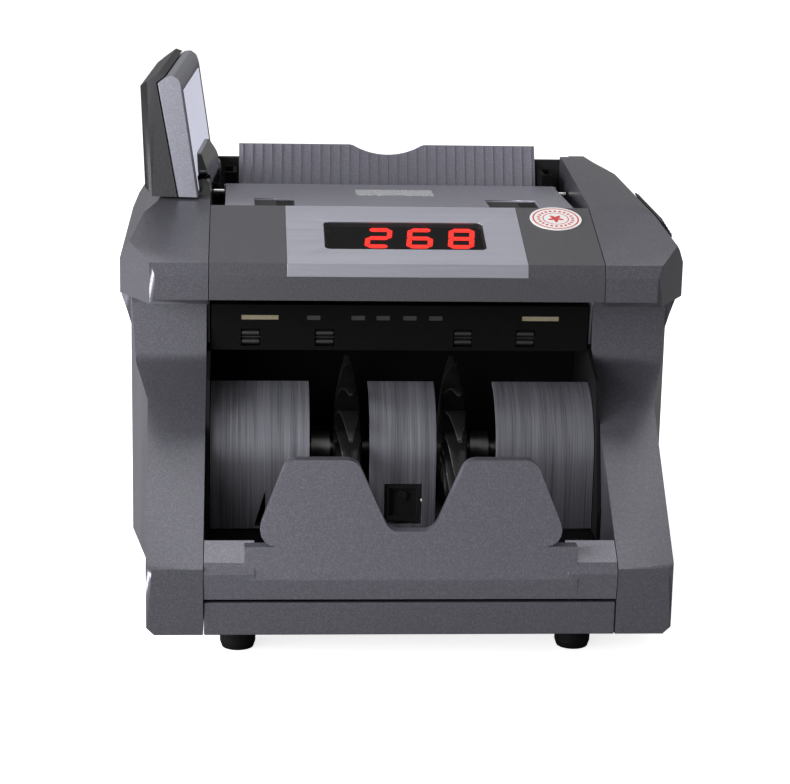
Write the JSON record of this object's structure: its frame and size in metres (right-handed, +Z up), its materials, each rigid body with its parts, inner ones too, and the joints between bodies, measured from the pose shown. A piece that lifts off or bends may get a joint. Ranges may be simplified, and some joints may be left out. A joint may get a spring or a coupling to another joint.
{
  "type": "banknote counting machine",
  "caption": "Desktop banknote counting machine with a rear top hopper, sloping count display, front note stacker behind a humped panel, flip-up customer display and belt-driven rollers.",
  "frame": {"origin": "on the table under the middle of the machine", "axes": "+X to the right seen from the front, +Y towards the back, +Z up"},
  "size_m": [0.3, 0.27, 0.287],
  "materials": {
    "cover_grey": "pearl dark grey lacquer with fine sparkle",
    "hood_grey": "dark grey sandy plastic",
    "brushed_plate": "brushed, satin",
    "brushed_steel": "vertical brushing",
    "bright_steel": "ground",
    "black_plastic": "black, fine texture",
    "black_frame": "black paint",
    "window_black": "smoked clear plastic",
    "led_red": "lit segments",
    "seal_paper": "printed paper, red rings",
    "label_silver": "silver foil label",
    "rubber": "black rubber",
    "board_green": "solder mask",
    "motor_steel": "motor can",
    "psu_tin": "folded sheet",
    "display_silver": "silver lacquer",
    "lamp_warm": "warm white diffuser",
    "screen_face": "pale lavender screen"
  },
  "bodies": {
    "root": {"base_pan": "cover_grey", "rubber_feet": "rubber", "left_side_frame": "black_frame", "right_side_frame": "black_frame", "cross_braces": "bright_steel", "left_side_cover": "cover_grey", "right_side_cover": "cover_grey", "display_hood": "hood_grey", "display_faceplate": "brushed_plate", "display_window": "window_black", "count_display_board": "board_green", "count_digits": "led_red", "round_seal": "seal_paper", "shoulder_grille": "black_plastic", "stacker_front_panel": "cover_grey", "stacker_floor": "black_plastic", "left_stack_plate": "brushed_steel", "centre_stack_plate": "brushed_steel", "right_stack_plate": "brushed_steel", "note_sensor": "black_plastic", "upper_note_guide": "black_plastic", "reader_bar": "black_plastic", "reader_lamps": "lamp_warm", "reader_contacts": "bright_steel", "partition_wall": "black_plastic", "back_cover": "black_plastic", "hopper_back_plate": "cover_grey", "hopper_side_guides": "black_plastic", "feed_chute": "black_plastic", "drive_motor": "motor_steel", "stacker_motor": "motor_steel", "control_board": "board_green", "power_supply": "psu_tin", "power_inlet": "black_plastic", "shaft_bearings": "bright_steel", "drive_belt": "rubber", "stacker_belt": "rubber", "cover_screws": "bright_steel", "hatch_hinge_pins": "bright_steel", "display_hinge_base": "black_plastic", "display_hinge_pin": "bright_steel"},
    "hatch": {"hatch_cover": "cover_grey", "hatch_label": "label_silver"},
    "flip_display": {"flip_display_shell": "hood_grey", "flip_display_bezel": "display_silver", "flip_display_screen": "screen_face", "flip_display_knuckle": "black_plastic"},
    "pickup": {"pickup_roller": "rubber"},
    "counting": {"counting_roller": "rubber"},
    "pinch": {"pinch_rollers": "rubber"},
    "stacker": {"stacker_wheels": "black_plastic", "stacker_shaft": "bright_steel"},
    "motor_pulley": {"drive_motor_pulley": "bright_steel"},
    "stacker_drive": {"stacker_motor_pulley": "bright_steel"},
    "switch": {"power_switch": "black_plastic"},
    "gap_knob": {"feed_gap_knob": "black_plastic"}
  },
  "joints": [
    {"name": "counting_spin", "type": "hinge", "parent": "root", "child": "counting", "pos_m": [0, 0.017, 0.16], "axis": [1, 0, 0], "continuous": true},
    {"name": "pickup_spin", "type": "hinge", "parent": "root", "child": "pickup", "pos_m": [0, 0.07, 0.168], "axis": [1, 0, 0], "continuous": true},
    {"name": "drive_motor_spin", "type": "hinge", "parent": "root", "child": "motor_pulley", "pos_m": [0, 0.09, 0.062], "axis": [1, 0, 0], "continuous": true},
    {"name": "pinch_spin", "type": "hinge", "parent": "root", "child": "pinch", "pos_m": [0, 0.017, 0.1874], "axis": [1, 0, 0], "continuous": true},
    {"name": "stacker_spin", "type": "hinge", "parent": "root", "child": "stacker", "pos_m": [0, -0.025, 0.085], "axis": [1, 0, 0], "continuous": true},
    {"name": "stacker_motor_spin", "type": "hinge", "parent": "root", "child": "stacker_drive", "pos_m": [0, 0.065, 0.102], "axis": [1, 0, 0], "continuous": true},
    {"name": "hatch_hinge", "type": "hinge", "parent": "root", "child": "hatch", "pos_m": [0, 0.089, 0.2046], "axis": [1, 0, 0], "range_deg": [-75, 0]},
    {"name": "display_fold", "type": "hinge", "parent": "root", "child": "flip_display", "pos_m": [-0.10419, 0.04718, 0.22156], "axis": [0.1042, 0.9917, 0.075], "range_deg": [0, 94]},
    {"name": "switch_rock", "type": "hinge", "parent": "root", "child": "switch", "pos_m": [-0.078, 0.1296, 0.0687], "axis": [1, 0, 0], "range_deg": [-14, 0]},
    {"name": "gap_knob_turn", "type": "hinge", "parent": "root", "child": "gap_knob", "pos_m": [0, 0.131, 0.176], "axis": [0, 1, 0], "range_deg": [-180, 180]}
  ],
  "couplings": [
    {"joint": "pickup_spin", "follows": "counting_spin", "ratio": 1},
    {"joint": "drive_motor_spin", "follows": "counting_spin", "ratio": 1.5556},
    {"joint": "pinch_spin", "follows": "counting_spin", "ratio": -1.2605},
    {"joint": "stacker_motor_spin", "follows": "stacker_spin", "ratio": 1.7778}
  ]
}
